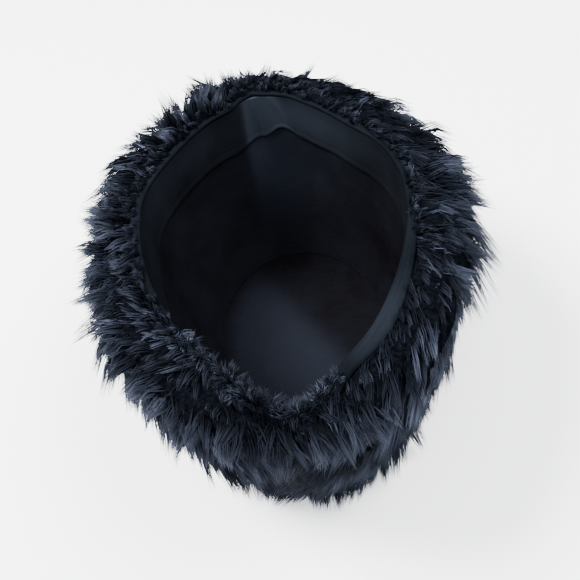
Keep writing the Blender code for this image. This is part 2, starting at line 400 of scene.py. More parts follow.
# side lining: a thin wall with the wall's folds and finer creases
sideLining = {
    "around": 220, "up": 54, "belowRim": 0.0002,
    "creaseShare": 0.55, "seed": 4, "ripple": 0.0002, "setBack": 0.0002,
    # turn, spread in degrees, depth, lowest and highest point, slant in degrees per metre of height
    "creases": [
        (106, 2.2, 0.0022, 0.03, 0.13, 0), (70, 2.4, 0.0010, 0.06, 0.13, 60),
        (60, 3.0, -0.0012, 0.04, 0.11, -220), (90, 7.0, 0.0050, 0.05, 0.17, 0),
        (48, 2.6, 0.0010, 0.05, 0.12, 180), (24, 3.0, 0.0012, 0.03, 0.10, 120),
        (140, 3.2, 0.0012, 0.02, 0.11, 90), (172, 3.5, -0.0012, 0.03, 0.12, -60),
        (205, 3.0, 0.0012, 0.02, 0.10, 80), (250, 3.0, 0.0014, 0.03, 0.12, -90),
        (274, 3.0, -0.0014, 0.02, 0.12, 40), (330, 3.4, 0.0012, 0.02, 0.11, -120),
        (350, 3.0, -0.0010, 0.03, 0.10, 90),
    ],
}

# where painted light makes the wall lighter and painted shade makes it darker: turn, height, spread
# of both, and how much
wallPaintedLight = {
    "base": 0.075,
    "patches": [(60, 0.114, 20, 0.014, 0.43), (40, 0.118, 14, 0.010, 0.10),
                (140, 0.118, 24, 0.008, 0.12), (275, 0.070, 30, 0.050, 0.10),
                (350, 0.040, 40, 0.045, -0.12)],
    "corner": [(96, 0.092, 20, 0.020, 0.55), (84, 0.068, 22, 0.024, 0.34)],
    "cornerEnd": 106,                  # the corner's own patches stop at this turn
    # the small flat face in the back corner: its two edges, the slant of the right one in
    # degrees per metre of height, how soft the edges are, and how much painted light makes it
    # lighter
    "facet": {"from": 71, "to": 105, "slant": 120, "edge": 1.0, "more": 0.62},
    # hem: the height over which painted shade darkens the band's foot
    "hem": 0.0012,                     # the height over which the band's foot is dark
}


def softStep(value, edge):
    return 1 / (1 + np.exp(-np.clip(value / edge, -30, 30)))


def paintedLightPatch(turn, height, patch):
    place, middleHeight, spread, tall, more = patch
    apart = apartFrom(turn, place)
    return more * np.exp(-(apart / radians(spread)) ** 2 - ((height - middleHeight) / tall) ** 2)


def paintedWallShade(turn, height):
    # painted light and painted shade on the wall, patch by patch
    shade = np.full(turn.shape, wallPaintedLight["base"])
    for patch in wallPaintedLight["patches"]:
        shade = shade + paintedLightPatch(turn, height, patch)
    cornerSide = softStep(wallPaintedLight["cornerEnd"] - np.degrees(turn), wallPaintedLight["facet"]["edge"])
    for patch in wallPaintedLight["corner"]:
        shade = shade + cornerSide * paintedLightPatch(turn, height, patch)
    return shade


def paintedBandShade(turn, height):
    # the wall's painted light, with more painted light on the facet and painted shade at the hem
    facet = wallPaintedLight["facet"]
    degrees = np.degrees(turn)
    right = facet["from"] - facet["slant"] * (rimHeight - height)
    edge = facet["edge"]
    inside = softStep(degrees - right, edge) * softStep(facet["to"] - degrees, edge)
    hem = np.exp(-((height - bandFoot) / wallPaintedLight["hem"]) ** 2)
    return (paintedWallShade(turn, height) + facet["more"] * inside) * (1 - hem)


def creaseAt(turn, height, creases):
    depth = 0
    for place, spread, push, low, high, slant in creases:
        apart = apartFrom(turn, place + slant * (height - (low + high) / 2))
        along = np.clip((height - low) / (high - low), 0, 1)
        depth = depth + push * np.exp(-((apart / radians(spread)) ** 2)) * np.sin(along * pi) ** 0.7
    return depth


def ripple(turn, height, seed, size):
    # slow waves that close round the hat
    rng = np.random.default_rng(seed)
    total = 0
    for k in range(10):
        waves, tilt, start = rng.integers(3, 22), rng.uniform(-90, 90), rng.uniform(0, 2 * pi)
        total = total + np.sin(waves * turn + tilt * height + start) / (3 + waves * 0.3)
    return total * size


cornerEase = {"turn": 90, "spread": 9, "times": 12}


def easeCorner(ring):
    # the sharp back corner is rounded by easing its points towards their neighbours
    turn = np.linspace(0, 2 * pi, len(ring), endpoint=False)
    apart = turn - radians(cornerEase["turn"])
    near = np.exp(-(apart / radians(cornerEase["spread"])) ** 2)[:, None]
    for k in range(cornerEase["times"]):
        ring = ring + near * 0.5 * ((np.roll(ring, 1, 0) + np.roll(ring, -1, 0)) / 2 - ring)
    return ring


liningTurns = np.linspace(0, 2 * pi, sideLining["around"], endpoint=False)


def liningFace(height):
    crease = creaseAt(liningTurns, height, sideLining["creases"]) * sideLining["creaseShare"]
    wave = ripple(liningTurns, height, sideLining["seed"], sideLining["ripple"])
    return easeCorner(wallPoint(liningTurns, height, -crease + wave + sideLining["setBack"]))


heights = np.linspace(floorHeight, rimHeight - sideLining["belowRim"], sideLining["up"])
levels = list(heights) + list(heights[::-6])       # up the face, and in bigger steps down the back
rings = [liningFace(h) for h in heights]
rings += [wallPoint(liningTurns, h, clothThick) for h in heights[::-6]]
bm, loops = ringSkin(rings, closed=True)
mapCloth(bm, loops, ringLengths(rings), levels)
paintLight(bm, loops, [paintedWallShade(liningTurns, h) for h in levels])
lining = keepObject("liningWall", meshFrom("liningWall", bm), liningCloth)
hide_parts("side_lining")
print("side lining made")


# crown lining: an oval that is pulled down along its seam, with a soft ridge across it
crownLining = {
    "around": 180, "rings": 30, "innermost": 0.03, "dome": 0.0021, "seamDip": 0.0006,
    "ridge": 0.00048, "ridgeLine": (0.85, 0.5, 0.004), "ridgeWide": 0.012,
    "puckers": 31, "pucker": 0.0003, "puckerAt": 0.93, "puckerWide": 0.05,
    # lit, litLine and litSoft place the painted light
    "lit": 0.47, "litLine": (0.86, 0.51, 0.0078), "litSoft": 0.0046,
    # how much painted shade darkens it, from which share of the way out, over which share, and its
    # power
    "seamPaintedShade": (0.3, 0.72, 0.28, 1.5), "leftPaintedShade": (0.62, 0.58, 0.36, 1.3),
}
seamTurns = np.linspace(0, 2 * pi, crownLining["around"], endpoint=False)
seamPoints = wallPoint(seamTurns, crownTop, clothThick)
middle = np.array([hatMiddle[0], hatMiddle[1], 0])


def acrossLine(line, x, y):
    slopeX, slopeY, far = line
    return x * slopeX + y * slopeY - far


def paintedCrownShade(places):
    # painted light at the left and the near end, painted shade past a soft diagonal and down in the
    # seam
    x, y = places[:, 0], places[:, 1]
    lit = 1 / (1 + np.exp(acrossLine(crownLining["litLine"], x, y) / crownLining["litSoft"]))
    halfWidth, halfLength = hollowRows[0, 1:3]
    edge = np.hypot(x / halfWidth, y / halfLength)
    farLeft = np.clip(0.5 - 0.6 * x / halfWidth + 0.6 * y / halfLength, 0, 1)
    fade = 0
    for part, name in ((1, "seamPaintedShade"), (farLeft, "leftPaintedShade")):
        most, start, over, power = crownLining[name]
        fade = fade + most * part * np.clip((edge - start) / over, 0, 1) ** power
    return crownLining["lit"] * lit * (1 - np.minimum(fade, 1))


def crownRing(share):
    ring = (seamPoints - middle) * share + middle
    x, y = ring[:, 0], ring[:, 1]
    rise = crownLining["dome"] * (1 - share * share)
    across = acrossLine(crownLining["ridgeLine"], x, y) / crownLining["ridgeWide"]
    ridge = crownLining["ridge"] * (np.exp(-across ** 2) - 0.6 * np.exp(-((across - 1.6) ** 2)))
    nearSeam = np.exp(-((share - crownLining["puckerAt"]) / crownLining["puckerWide"]) ** 2)
    pucker = np.sin(np.arctan2(y, x) * crownLining["puckers"]) * nearSeam * crownLining["pucker"]
    calm = np.clip((1 - share) * 5, 0, 1)
    ring[:, 2] = crownTop + rise + ridge * calm + pucker - crownLining["seamDip"] * (1 - calm)
    return ring


def crownUnder(share):
    ring = (seamPoints - middle) * share + middle
    ring[:, 2] = crownTop - clothThick
    return ring


shares = np.linspace(crownLining["innermost"], 1, crownLining["rings"])
rings = [crownRing(share) for share in shares]
rings += [crownUnder(share) for share in (1.0, crownLining["innermost"])]
bm, loops = ringSkin(rings, closed=False, caps=True)
layer = bm.loops.layers.uv.new("cloth")
for face in bm.faces:
    for loop in face.loops:
        loop[layer].uv = (loop.vert.co.x, loop.vert.co.y)
paintLight(bm, loops, [paintedCrownShade(ring) for ring in rings])
crown = keepObject("crownPatch", meshFrom("crownPatch", bm), liningCloth)
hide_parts("crown_lining")
print("crown lining made")


# sweatband: smooth cloth with a turned lower edge and creases at the far corner
sweatBand = {
    "around": 240, "up": 22, "creaseShare": 0.5, "seed": 9, "ripple": 0.00015,
    "hem": 0.0020, "hemProud": 0.0002,                 # the turned edge stands a little proud
    "stitchDeep": 0.0002, "stitchAt": 1.9, "stitchWide": 0.35,
    # turn, spread in degrees, and how far the foot of the band rises there
    "footRise": [(72, 7, 0.0065), (93, 8, 0.0022)],
    # the same columns as the side lining's
    "creases": [
        (106, 2.2, 0.0022, 0.09, 0.14, 0), (70, 2.4, 0.0020, 0.09, 0.14, 300),
        (50, 3.0, 0.0006, 0.09, 0.13, -300), (90, 7.0, 0.0060, 0.08, 0.17, 0),
        (120, 3.0, -0.0008, 0.09, 0.13, 100), (250, 3.0, 0.0012, 0.09, 0.13, 60),
        (264, 2.5, 0.0012, 0.09, 0.13, -80), (279, 2.5, -0.0012, 0.09, 0.13, 90),
        (291, 3.0, 0.0012, 0.09, 0.13, 0), (20, 4.0, 0.0008, 0.09, 0.13, 200),
        (200, 4.0, 0.0008, 0.09, 0.13, -100),
    ],
}
bandTurns = np.linspace(0, 2 * pi, sweatBand["around"], endpoint=False)
footRise = 0
for place, spread, rise in sweatBand["footRise"]:
    footRise = footRise + rise * np.exp(-(apartFrom(bandTurns, place) / radians(spread)) ** 2)


def bandLevel(h):
    return h + footRise * (rimHeight - h) / (rimHeight - bandFoot)


def bandFace(h):
    low = (h - bandFoot) / sweatBand["hem"]
    hem = sweatBand["hemProud"] * np.exp(-((low - 0.6) ** 2))
    fromStitch = (low - sweatBand["stitchAt"]) / sweatBand["stitchWide"]
    stitch = sweatBand["stitchDeep"] * np.exp(-fromStitch ** 2)
    crease = creaseAt(bandTurns, h, sweatBand["creases"]) * sweatBand["creaseShare"]
    wave = ripple(bandTurns, h, sweatBand["seed"], sweatBand["ripple"])
    offset = -clothThick - clothGap - hem + stitch - crease + wave
    return easeCorner(wallPoint(bandTurns, bandLevel(h), offset))


heights = np.linspace(bandFoot, rimHeight, sweatBand["up"])
levels = list(heights) + list(heights[::-4])
rings = [bandFace(h) for h in heights]
rings += [wallPoint(bandTurns, bandLevel(h), -clothGap) for h in heights[::-4]]
bm, loops = ringSkin(rings, closed=True)
mapCloth(bm, loops, ringLengths(rings), levels)
paintLight(bm, loops, [paintedBandShade(bandTurns, h) for h in levels])
band = keepObject("sweatBand", meshFrom("sweatBand", bm), bandCloth)
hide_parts("sweatband")
print("sweatband made")


# rim welt: a soft rolled strip, wider where the fur stands back from it, and lighter there with
# painted light
rimWelt = {
    "around": 300, "low": -0.0017, "wide": 0.0058, "rise": 0.0021, "sectionStep": 0.0009,
    "wideTurn": 319, "wideSpread": 18, "wideMore": 0.50, "paintedLight": -0.10, "paintedLightWide": 0.58,
    # small puckers, which are deepest at the near end
    "pucker": 0.0009, "puckerLeast": 0.25, "puckerTurn": 268, "puckerSpread": 26, "seed": 21,
    # place across the strip from 0 to 1, and height from 0 to 1
    "section": [(0.02, 0.05), (-0.01, 0.35), (0.03, 0.68), (0.12, 0.9), (0.27, 1.0),
                (0.5, 0.98), (0.75, 0.86), (0.93, 0.62), (1.0, 0.35), (0.95, 0.05)],
}
weltTurns = np.linspace(0, 2 * pi, rimWelt["around"], endpoint=False)
apart = apartFrom(weltTurns, rimWelt["wideTurn"])
widen = 1 + rimWelt["wideMore"] * np.exp(-((apart / radians(rimWelt["wideSpread"])) ** 2))
apart = apartFrom(weltTurns, rimWelt["puckerTurn"])
nearEnd = np.exp(-(apart / radians(rimWelt["puckerSpread"])) ** 2)
pucker = ripple(weltTurns * 3, 0, rimWelt["seed"], rimWelt["pucker"])
pucker = (rimWelt["puckerLeast"] + nearEnd) * pucker
rings = []
for across, up in rimWelt["section"]:
    offset = rimWelt["low"] + (rimWelt["wide"] * widen) * across
    z = rimHeight + clothGap + rimWelt["rise"] * up + pucker * up
    rings.append(wallPoint(weltTurns, rimHeight, offset, z=z))
bm, loops = ringSkin(rings, closed=True)
mapCloth(bm, loops, ringLengths(rings), [rimWelt["sectionStep"] * k for k in range(len(rings))])
# painted light where the strip is wider
paintLight(bm, loops, [rimWelt["paintedLight"] + rimWelt["paintedLightWide"] * (widen - 1)] * len(rings))
welt = keepObject("rimWelt", meshFrom("rimWelt", bm), weltCloth)
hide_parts("rim_welt")
print("rim welt made")


# undercoat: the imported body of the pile, a little inside the CAD's, under all the strands
underCoat = {
    "around": 220, "inset": 0.0045, "lumps": 0.0048, "lumpSeed": 31,
    "foot": 0.0012, "side": (0.0015, 0.1265, 46), "shelf": 0.0054,
    # share of the way from the crest in to the welt, and height
    "crest": [(0.25, 0.1286), (0.5, 0.1292), (0.75, 0.1284), (0.93, 0.1268)],
    "crestSeed": 33, "crestLumps": 0.0006,
}
coatTurns = np.linspace(0, 2 * pi, underCoat["around"], endpoint=False)


def pilePoint(turn, height, inset):
    outward = awayAt(pileRows, turn, height)
    flat = outlineAt(pileRows, turn, height) - outward * np.asarray(inset)[..., None]
    return np.concatenate([flat, np.broadcast_to(height, flat.shape[:-1])[..., None]], -1)


wallBack = clothThick + clothGap
inside = [wallPoint(coatTurns, h, wallBack) for h in np.linspace(rimHeight, floorHeight, 12)]
foot = [wallPoint(coatTurns, crownTop, wallBack, z=underCoat["foot"])]
side = []
for h in np.linspace(*underCoat["side"]):
    lumps = ripple(coatTurns, h, underCoat["lumpSeed"], underCoat["lumps"])
    side.append(pilePoint(coatTurns, h, underCoat["inset"] + lumps))
shelf = wallPoint(coatTurns, rimHeight, underCoat["shelf"])
crest = []
for share, z in underCoat["crest"]:
    ring = side[-1] * (1 - share) + shelf * share
    ring[:, 2] = z + ripple(coatTurns, share, underCoat["crestSeed"], underCoat["crestLumps"])
    crest.append(ring)
bm, loops = ringSkin(inside + foot + side + crest + [shelf], closed=True)
coat = keepObject("furUnderCoat", meshFrom("furUnderCoat", bm), pileInPaintedShade)
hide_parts("fur_side")
print("undercoat made")


# crown fur: the pressed disc that the hat lies on
crownPile = {
    "around": 160, "edge": 0.0008,
    # share of the way out, and height, from the middle of the underside round to the top's
    "section": [(0.05, 0.0012), (0.5, 0.0012), (0.93, 0.0012), (0.985, 0.0022), (1.0, 0.004),
                (1.0, 0.010), (0.96, 0.0125), (0.5, 0.0125), (0.05, 0.0125)],
}
discTurns = np.linspace(0, 2 * pi, crownPile["around"], endpoint=False)
rings = []
for share, z in crownPile["section"]:
    ring = (wallPoint(discTurns, crownTop, crownPile["edge"]) - middle) * share + middle
    ring[:, 2] = z
    rings.append(ring)
bm, loops = ringSkin(rings, closed=False, caps=True)
disc = keepObject("crownPile", meshFrom("crownPile", bm), pileInPaintedShade)
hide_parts("fur_crown")
print("crown pile made")


# strands: every lock is a bunch of tapered strands that lean together towards its tip
strandPlan = {
    "rings": (0.0, 0.5),               # places of its three-sided rings, before the tip
    "taper": (1.0, 0.85),
    "thin": 0.5,                       # thickness of a strand against its width
    "lowest": 0.0005,                  # no strand goes into the floor
    "widths": (0.7, 1.2),
    "tuftLengths": (0.80, 1.05), "strandLengths": (0.75, 1.0),
    "loose": 0.45,                     # stray of a strand against its lock's
    "unbend": 1.3,                     # the outer half bends back by more than the inner bends
}
# how light a strand is: shares of its lock, its tuft and its own, all at random, with painted shade
# and painted light on them
toneAndLightPlan = {
    "lock": 0.80, "tuft": 0.20, "strand": 0.10,
    "darkPower": 2.2,                  # most locks are dark, a few are light
    # painted shade on the tufts at the edge of their lock, between the locks
    "paintedShadeAtEdge": 0.75,                  # tufts at the edge of their lock are darker
    # lit: what painted light adds at a well lit place
    "lit": 0.10,                       # what a well lit place adds
}


def unit(v):
    return v / np.maximum(np.linalg.norm(v, axis=-1, keepdims=True), 1e-9)


def swirlAt(turn, height, seed, waves):
    # a smooth field from about -1 to 1 over the pile, which steers and bends the locks
    rng = np.random.default_rng(seed)
    total = np.zeros_like(turn)
    for k in range(waves):
        around, up = rng.integers(1, 9), rng.uniform(-130, 130)
        total += np.sin(around * turn + up * height + rng.uniform(0, 2 * pi))
    return total / waves ** 0.5 / 0.9


def strandMesh(name, root, bend, tip, out, width, toneAndPaintedLight):
    # root, bend and tip give each strand's curve; the rings stand round it
    count = len(root)
    curve = []
    for u in (*strandPlan["rings"], 1.0):
        a, b, c = (1 - u) ** 2, 2 * u * (1 - u), u * u
        curve.append(a * root + b * bend + c * tip)
    last = len(curve) - 1
    heading = [unit(curve[min(k + 1, last)] - curve[max(k - 1, 0)]) for k in range(last + 1)]
    points, reach = [], []
    for k, u in enumerate(strandPlan["rings"]):
        flatWay = unit(np.cross(heading[k], out))
        thickWay = np.cross(flatWay, heading[k])
        size = width * strandPlan["taper"][k]
        for angle in (90, 210, 330):
            aside = np.cos(radians(angle)) * size * 0.5
            above = np.sin(radians(angle)) * size * 0.5 * strandPlan["thin"]
            points.append(curve[k] + flatWay * aside[:, None] + thickWay * above[:, None])
            reach.append(np.full(count, u))
    points.append(curve[-1])
    reach.append(np.ones(count))
    perStrand = len(points)
    verts = np.stack(points, 1)
    verts[..., 2] = np.maximum(verts[..., 2], strandPlan["lowest"])
    faces = []
    rows = len(strandPlan["rings"])
    for k in range(rows - 1):
        for i in range(3):
            j = (i + 1) % 3
            faces.append((3 * k + i, 3 * k + 3 + i, 3 * k + 3 + j, 3 * k + j))
    outer = 3 * (rows - 1)
    ends = [(outer + i, perStrand - 1, outer + (i + 1) % 3) for i in range(3)] + [(0, 1, 2)]
    base = (np.arange(count) * perStrand)[:, None, None]
    quads = (np.array(faces)[None] + base).reshape(-1, 4)
    tris = (np.array(ends)[None] + base).reshape(-1, 3)
    mesh = bpy.data.meshes.new(name)
    mesh.vertices.add(count * perStrand)
    mesh.vertices.foreach_set("co", verts.reshape(-1).astype(np.float32))
    corners = np.concatenate([quads.reshape(-1), tris.reshape(-1)]).astype(np.int32)
    triStarts = len(quads) * 4 + np.arange(len(tris)) * 3
    starts = np.concatenate([np.arange(len(quads)) * 4, triStarts]).astype(np.int32)
    mesh.loops.add(len(corners))
    mesh.loops.foreach_set("vertex_index", corners)
    mesh.polygons.add(len(starts))
    mesh.polygons.foreach_set("loop_start", starts)
    mesh.update(calc_edges=True)
    mesh.validate()
    mesh.shade_smooth()
    # reach along each strand, and its tone with painted light and shade
    marks = {"reach": np.stack(reach, 1).reshape(-1), "toneAndPaintedLight": np.repeat(toneAndPaintedLight, perStrand)}
    for label, values in marks.items():
        layer = mesh.attributes.new(label, "FLOAT", "POINT")
        layer.data.foreach_set("value", values.astype(np.float32))
    return mesh


def growLocks(name, seed, plan, roots, away, heading, fall, length, curl, light):
    # a lock is a few tufts, and a tuft is a bunch of strands; both lean together towards their tips
    rng = np.random.default_rng(seed)
    side = unit(np.cross(away, heading))
    flow = unit(np.cross(side, away))

    def spreadOver(owner, reach):
        turn = rng.uniform(0, 2 * pi, len(owner))
        far = np.sqrt(rng.uniform(0, 1, len(owner))) * reach
        aside, along = np.cos(turn) * far, np.sin(turn) * far
        return side[owner] * aside[:, None] + flow[owner] * along[:, None]

    lockOf = np.repeat(np.arange(len(roots)), plan["tufts"])
    tuftAside = spreadOver(lockOf, plan["spread"])
    tuftHeading = unit(heading[lockOf] + rng.normal(0, plan["stray"], (len(lockOf), 3)))
    tuftLength = length[lockOf] * rng.uniform(*strandPlan["tuftLengths"], len(lockOf))
    tuftCurl = curl[lockOf] + rng.normal(0, plan["curlStray"], len(lockOf))
    lockTint = rng.uniform(0, 1, len(roots)) ** toneAndLightPlan["darkPower"]
    tuftToneAndLight = lockTint[lockOf] * toneAndLightPlan["lock"] + rng.uniform(0, toneAndLightPlan["tuft"], len(lockOf))
    # painted shade between the locks, then painted light from light
    outwards = np.sum(tuftAside ** 2, -1) / plan["spread"] ** 2
    tuftToneAndLight = tuftToneAndLight * (1 - toneAndLightPlan["paintedShadeAtEdge"] * outwards) * light[lockOf]
    tuftToneAndLight = tuftToneAndLight + toneAndLightPlan["lit"] * (light[lockOf] - 1)

    tuftOf = np.repeat(np.arange(len(lockOf)), plan["strands"])
    own = lockOf[tuftOf]
    strandAside = spreadOver(own, plan["tuftSpread"])
    tuftAside = tuftAside[tuftOf]
    long = (tuftLength[tuftOf] * rng.uniform(*strandPlan["strandLengths"], len(own)))[:, None]
    bent = side[own] * tuftCurl[tuftOf, None]
    loose = plan["stray"] * strandPlan["loose"]
    start = unit(tuftHeading[tuftOf] + bent + rng.normal(0, loose, (len(own), 3)))
    late = unit(tuftHeading[tuftOf] * 0.9 + fall[own] - bent * strandPlan["unbend"]
                + rng.normal(0, loose, (len(own), 3)))
    root = roots[own] + tuftAside + strandAside
    lockPull, tuftPull = tuftAside * plan["lockGather"], strandAside * plan["tuftGather"]
    bend = root + start * long * 0.5 - lockPull * 0.4 - tuftPull * 0.4
    tip = bend + late * long * 0.55 - lockPull * 0.6 - tuftPull * 0.6
    width = plan["width"] * rng.uniform(*strandPlan["widths"], len(own))
    toneAndPaintedLight = np.clip(tuftToneAndLight[tuftOf] + rng.uniform(0, toneAndLightPlan["strand"], len(own)), 0, 1)
    mesh = strandMesh(name, root, bend, tip, away[own], width, toneAndPaintedLight)
    fur = keepObject(name, mesh, furToneAndPaintedLight)
    print(name, len(own), "strands")
    return fur


# how the fur is combed round the hat: turn in degrees, sideways comb, and lift off the skin,
# length and painted light, each against the usual
combChart = np.array([
    (10, -0.65, 0.90, 1.50, 1.70), (25, -0.90, 0.75, 1.34, 1.60), (60, -0.90, 0.80, 1.15, 1.30),
    (85, -0.20, 1.10, 1.10, 0.95), (98, -0.15, 1.40, 0.94, 0.85), (110, -0.35, 2.05, 1.45, 0.75),
    (124, -0.30, 2.05, 1.80, 0.85), (140, 0.10, 1.30, 1.15, 1.20), (172, 0.10, 1.15, 1.48, 1.85),
    (195, 0.15, 1.05, 1.08, 2.00), (218, 0.30, 0.90, 0.84, 1.75), (238, 0.50, 0.75, 0.84, 1.30),
    (268, -0.20, 0.65, 0.78, 0.90), (286, -1.05, 0.65, 0.95, 1.05), (300, -1.20, 0.65, 1.06, 1.15),
    (312, -1.15, 0.58, 0.82, 1.45), (335, -0.95, 0.60, 0.74, 1.80), (345, -0.75, 0.72, 0.90, 1.85),
    (355, -0.60, 0.90, 1.85, 1.80),
])

# the parting behind the near edge of the rim, darkened with painted shade: its middle and reach
# round the hat, the height that it starts at, its two edges as shares of the rim's width, and how
# much shorter the fur is there
partingFur = {
    "turn": 257, "spread": 21, "below": 0.120, "inside": 0.0, "outside": 0.46, "shorter": 0.75,
    "softHeight": 0.006, "softShare": 0.1,       # how soft those edges are
}


def partingAt(turn):
    apart = np.abs(degreesFrom(turn, partingFur["turn"]))
    return np.clip(1.5 - apart / partingFur["spread"] * 1.2, 0, 1)


def combAt(turn, column):
    return np.interp(np.degrees(turn) % 360, combChart[:, 0], combChart[:, column], period=360)


# the pile's usual radius, and how uneven the places of the locks are
scatterPlan = {"radius": 0.11, "jitter": 0.45}


def scatter(rng, count, turnFrom, turnTo, low, high):
    # even places on a sector of the side: rows by height, steps by turn, each jittered
    wide = scatterPlan["radius"] * (turnTo - turnFrom)
    rows = max(2, int(round((count * (high - low) / wide) ** 0.5)))
    steps = int(round(count / rows))
    t, h = np.meshgrid((np.arange(steps) + 0.5) / steps, (np.arange(rows) + 0.5) / rows)
    t = t + (np.arange(rows) % 2)[:, None] * 0.5 / steps
    jitter = scatterPlan["jitter"]
    t = t.reshape(-1) + rng.uniform(-jitter, jitter, t.size) / steps
    h = h.reshape(-1) + rng.uniform(-jitter, jitter, h.size) / rows
    return turnFrom + t * (turnTo - turnFrom), low + h * (high - low)


def levelAway(rows, turn, height):
    # the level way out as points in space
    return np.concatenate([awayAt(rows, turn, height), np.zeros((len(turn), 1))], -1)


def aroundOf(away):
    return np.stack([-away[:, 1], away[:, 0], np.zeros(len(away))], -1)


sideFur = {
    # name, and the turns that the piece starts and ends at
    "pieces": [("furRight", -45, 45), ("furBack", 45, 135), ("furLeft", 135, 225),
               ("furFront", 225, 315)],
    "placeSeed": 100, "lockSeed": 200, "combSeed": 7, "curlSeed": 17,
    "locks": 250, "tufts": 5, "strands": 10, "from": 0.010, "to": 0.124, "inset": 0.0065,
    "spread": 0.0070, "tuftSpread": 0.0034, "lockGather": 0.62, "tuftGather": 0.60,
    "stray": 0.07, "curlStray": 0.10, "width": 0.00095,
    "length": (0.026, 0.034),
    "shortest": 0.6, "shortOver": 0.09,          # share of the length at the foot, and its growth
    "nearTop": (0.075, 0.035),                   # the longest locks stand near the rim
    "combSwirl": 0.55, "combStray": 0.30, "curl": 0.38, "lockCurlStray": 0.14, "fall": 0.95,
    # how steeply the locks hang, in degrees: at the rim, and from liftOver further down
    "lift": (36, 68), "liftTop": 0.125, "liftOver": 0.07, "liftStray": 11, "liftLimits": (15, 82),
    "foot": 0.026, "footLift": 35,               # the lowest locks lie out along the floor
}
# painted light on the side: the crest gets painted light, the part under it painted shade, most of
# all at the near end, and the foot a little painted light again
sideShade = {
    "crest": 0.050, "nearCrest": 0.046, "over": 0.036, "least": 0.14, "most": 1.1,
    "nearTurn": 274, "nearSpread": 38, "foot": 0.5, "footTop": 0.094, "footOver": 0.022,
}


def sideLight(turn, height):
    apart = degreesFrom(turn, sideShade["nearTurn"])
    nearSide = np.exp(-(apart / sideShade["nearSpread"]) ** 2)
    crest = (height - sideShade["crest"] - sideShade["nearCrest"] * nearSide) / sideShade["over"]
    foot = np.clip((sideShade["footTop"] - height) / sideShade["footOver"], 0, 1)
    crest = np.clip(crest, sideShade["least"], sideShade["most"])
    return np.maximum(crest, sideShade["foot"] * foot)


for k, (name, turnFrom, turnTo) in enumerate(sideFur["pieces"]):
    rng = np.random.default_rng(sideFur["placeSeed"] + k)
    turn, height = scatter(rng, sideFur["locks"], radians(turnFrom), radians(turnTo),
                           sideFur["from"], sideFur["to"])
    count = len(turn)
    above = (height - partingFur["below"]) / partingFur["softHeight"]
    parting = partingAt(turn) * np.clip(above, 0, 1)
    roots = pilePoint(turn, height, np.full(count, sideFur["inset"]))
    away = levelAway(pileRows, turn, height)
    swirl = swirlAt(turn, height, sideFur["combSeed"], 7) * sideFur["combSwirl"]
    comb = combAt(turn, 1) + swirl + rng.normal(0, sideFur["combStray"], count)
    down = unit(np.array([0, 0, -1.0]) + aroundOf(away) * comb[:, None])
    liftLow, liftHigh = sideFur["lift"]
    share = np.clip((sideFur["liftTop"] - height) / sideFur["liftOver"], 0, 1)
    angle = (liftLow + (liftHigh - liftLow) * share) / combAt(turn, 2)
    angle = np.clip(angle + rng.normal(0, sideFur["liftStray"], count), *sideFur["liftLimits"])
    angle = np.radians(np.where(height < sideFur["foot"], sideFur["footLift"], angle))
    heading = unit(away * np.cos(angle)[:, None] + down * np.sin(angle)[:, None])
    topFrom, topOver = sideFur["nearTop"]
    nearTop = np.clip((height - topFrom) / topOver, 0, 1)
    shortest = sideFur["shortest"]
    length = rng.uniform(*sideFur["length"], count)
    length = length * np.clip(shortest + height / sideFur["shortOver"], shortest, 1.0)
    length = length * (1 + (combAt(turn, 3) - 1) * nearTop)
    length = length * (1 - partingFur["shorter"] * parting)
    curl = swirlAt(turn * 3, height * 2, sideFur["curlSeed"], 6) * sideFur["curl"]
    curl = curl + rng.normal(0, sideFur["lockCurlStray"], count)
    # painted shade in the parting, painted light and shade down the side, and each turn's painted
    # light
    light = (1 - parting) * sideLight(turn, height) * combAt(turn, 4)
    fall = down * sideFur["fall"]
    growLocks(name, sideFur["lockSeed"] + k, sideFur, roots, away, heading, fall,
              length, curl, light)

# the crest: locks that stand on the rim, from just behind the lining out to the pile's edge
rimFur = {
    "pieces": [("furRimRight", -90, 90), ("furRimLeft", 90, 270)],
    "placeSeed": 300, "lockSeed": 400, "combSeed": 8, "curlSeed": 18,
    "rootFrom": 0.0018, "rootBare": 0.0048, "bareSpread": 24,    # how far behind the lining
    "rootHeight": 0.1255, "edgeHeight": 0.126, "edgeInset": 0.005, "deep": 0.10,
    "locks": 300, "tufts": 4, "strands": 9, "spread": 0.0056, "tuftSpread": 0.0026,
    "lockGather": 0.6, "tuftGather": 0.60, "stray": 0.08, "curlStray": 0.10, "width": 0.00090,
    "length": (0.018, 0.027), "longPower": 0.6,
    "comb": 0.9, "combSwirl": 0.6, "combStray": 0.3, "curl": 0.40, "lockCurlStray": 0.18,
    "rise": (0.55, -0.35), "riseStray": 0.18,                    # at the lining, and further out
    "rollRise": 0.9, "rollShort": 0.60, "rollIn": 0.75,          # the roll at the near edge
    # light: painted light on the crest, and what the roll at the near edge adds
    "droop": (0.4, 1.0), "light": (0.85, 0.20),
}
